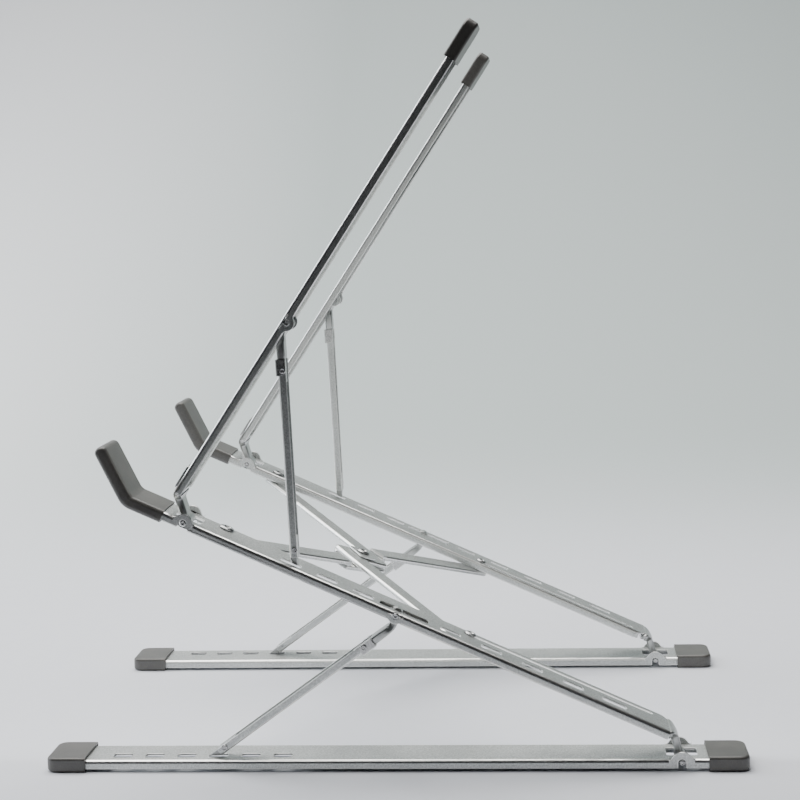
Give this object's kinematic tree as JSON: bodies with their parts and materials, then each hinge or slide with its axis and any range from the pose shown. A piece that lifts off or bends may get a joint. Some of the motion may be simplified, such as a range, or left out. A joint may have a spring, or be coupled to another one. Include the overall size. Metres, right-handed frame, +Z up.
{
  "type": "laptop stand",
  "caption": "Folding two-tier laptop stand: two side frames of slotted channel rails and struts with rubber ends, joined by a flat scissor brace.",
  "frame": {"origin": "on the table, under the middle of the stand", "axes": "+X towards the stand's rear, +Y towards its left side, +Z up"},
  "size_m": [0.265, 0.17, 0.2773],
  "materials": {
    "rubber": "matt moulded rubber",
    "cast": "smooth die-cast, blasted",
    "steel": "plain bright steel",
    "silver": "fine blasted, anodised silver"
  },
  "bodies": {
    "right_base": {"right_base_rail": "silver", "right_base_front_foot": "rubber", "right_base_rear_foot": "rubber", "right_rear_hinge_pin": "steel"},
    "right_main": {"right_main_rail": "silver", "right_main_rail_knuckle": "cast", "right_hook_sleeve": "rubber", "right_front_hinge_pin": "steel", "right_lower_strut_pin": "steel", "right_brace_pivot_rivet": "steel"},
    "right_upper": {"right_upper_rail": "silver", "right_upper_rail_knuckle": "cast", "right_upper_rail_clip": "steel", "right_upper_rail_cap": "rubber", "right_upper_strut_pin": "steel"},
    "left_base": {"left_base_rail": "silver", "left_base_front_foot": "rubber", "left_base_rear_foot": "rubber", "left_rear_hinge_pin": "steel"},
    "left_main": {"left_main_rail": "silver", "left_main_rail_knuckle": "cast", "left_hook_sleeve": "rubber", "left_front_hinge_pin": "steel", "left_lower_strut_pin": "steel", "left_brace_pivot_rivet": "steel"},
    "left_upper": {"left_upper_rail": "silver", "left_upper_rail_knuckle": "cast", "left_upper_rail_clip": "steel", "left_upper_rail_cap": "rubber", "left_upper_strut_pin": "steel"},
    "scissor_lower": {"brace_lower_arm": "silver", "left_brace_slide_pin": "steel"},
    "scissor_upper": {"brace_upper_arm": "silver", "brace_hub_plate": "silver", "brace_hub_rivet": "steel", "right_brace_slide_pin": "steel"},
    "right_lower_strut_body": {"right_lower_strut": "silver", "right_lower_strut_knuckle": "cast", "right_lower_strut_clip": "steel", "right_lower_strut_foot": "cast", "right_lower_strut_clip_rivet": "steel", "right_lower_strut_foot_rivet": "steel"},
    "right_upper_strut_body": {"right_upper_strut": "silver", "right_upper_strut_knuckle": "cast", "right_upper_strut_clip": "steel", "right_upper_strut_foot": "cast", "right_upper_strut_clip_rivet": "steel", "right_upper_strut_foot_rivet": "steel"},
    "left_lower_strut_body": {"left_lower_strut": "silver", "left_lower_strut_knuckle": "cast", "left_lower_strut_clip": "steel", "left_lower_strut_foot": "cast", "left_lower_strut_clip_rivet": "steel", "left_lower_strut_foot_rivet": "steel"},
    "left_upper_strut_body": {"left_upper_strut": "silver", "left_upper_strut_knuckle": "cast", "left_upper_strut_clip": "steel", "left_upper_strut_foot": "cast", "left_upper_strut_clip_rivet": "steel", "left_upper_strut_foot_rivet": "steel"}
  },
  "joints": [
    {"name": "main_rail_pitch", "type": "hinge", "parent": "right_base", "child": "right_main", "pos_m": [0.1074, -0.07415, 0.0031], "axis": [0, 1, 0], "range_deg": [-24.4, 8.5]},
    {"name": "width_fold", "type": "hinge", "parent": "right_main", "child": "scissor_lower", "pos_m": [-0.06494, -0.069, 0.08457], "axis": [0.4131, 0, 0.9107], "range_deg": [-46.95, 0]},
    {"name": "scissor_centre", "type": "hinge", "parent": "scissor_lower", "child": "scissor_upper", "pos_m": [-0.01904, 0, 0.06375], "axis": [0.4131, 0, 0.9107], "range_deg": [0, 94]},
    {"name": "left_scissor_pivot", "type": "hinge", "parent": "scissor_upper", "child": "left_main", "pos_m": [-0.06494, 0.069, 0.08457], "axis": [0.4131, 0, 0.9107], "range_deg": [-47.05, 0]},
    {"name": "left_base_pitch", "type": "hinge", "parent": "left_main", "child": "left_base", "pos_m": [0.1074, 0.07415, 0.0031], "axis": [0, 1, 0], "range_deg": [-8.6, 24.5]},
    {"name": "right_lower_strut_fold", "type": "hinge", "parent": "right_main", "child": "right_lower_strut_body", "pos_m": [0.0024, -0.0774, 0.05946], "axis": [0, 1, 0], "range_deg": [-20.87, 59.71]},
    {"name": "left_lower_strut_fold", "type": "hinge", "parent": "left_main", "child": "left_lower_strut_body", "pos_m": [0.0024, 0.0774, 0.05946], "axis": [0, 1, 0], "range_deg": [-20.87, 59.71]},
    {"name": "right_upper_rail_pitch", "type": "hinge", "parent": "right_main", "child": "right_upper", "pos_m": [-0.0762, -0.07415, 0.09533], "axis": [0, 1, 0], "range_deg": [0, 80.5]},
    {"name": "right_upper_strut_fold", "type": "hinge", "parent": "right_upper", "child": "right_upper_strut_body", "pos_m": [-0.03488, -0.0774, 0.16901], "axis": [0, 1, 0], "range_deg": [-145, 0]},
    {"name": "left_upper_rail_pitch", "type": "hinge", "parent": "left_main", "child": "left_upper", "pos_m": [-0.0762, 0.07415, 0.09533], "axis": [0, 1, 0], "range_deg": [0, 80.5]},
    {"name": "left_upper_strut_fold", "type": "hinge", "parent": "left_upper", "child": "left_upper_strut_body", "pos_m": [-0.03488, 0.0774, 0.16901], "axis": [0, 1, 0], "range_deg": [-145, 0]}
  ],
  "couplings": [
    {"joint": "scissor_centre", "follows": "width_fold", "ratio": -2},
    {"joint": "left_scissor_pivot", "follows": "width_fold", "ratio": 1},
    {"joint": "left_base_pitch", "follows": "main_rail_pitch", "ratio": -1},
    {"joint": "right_lower_strut_fold", "follows": "main_rail_pitch", "ratio": -2.443},
    {"joint": "right_upper_strut_fold", "follows": "right_upper_rail_pitch", "ratio": -1.8},
    {"joint": "left_lower_strut_fold", "follows": "main_rail_pitch", "ratio": -2.443},
    {"joint": "left_upper_strut_fold", "follows": "left_upper_rail_pitch", "ratio": -1.8}
  ]
}
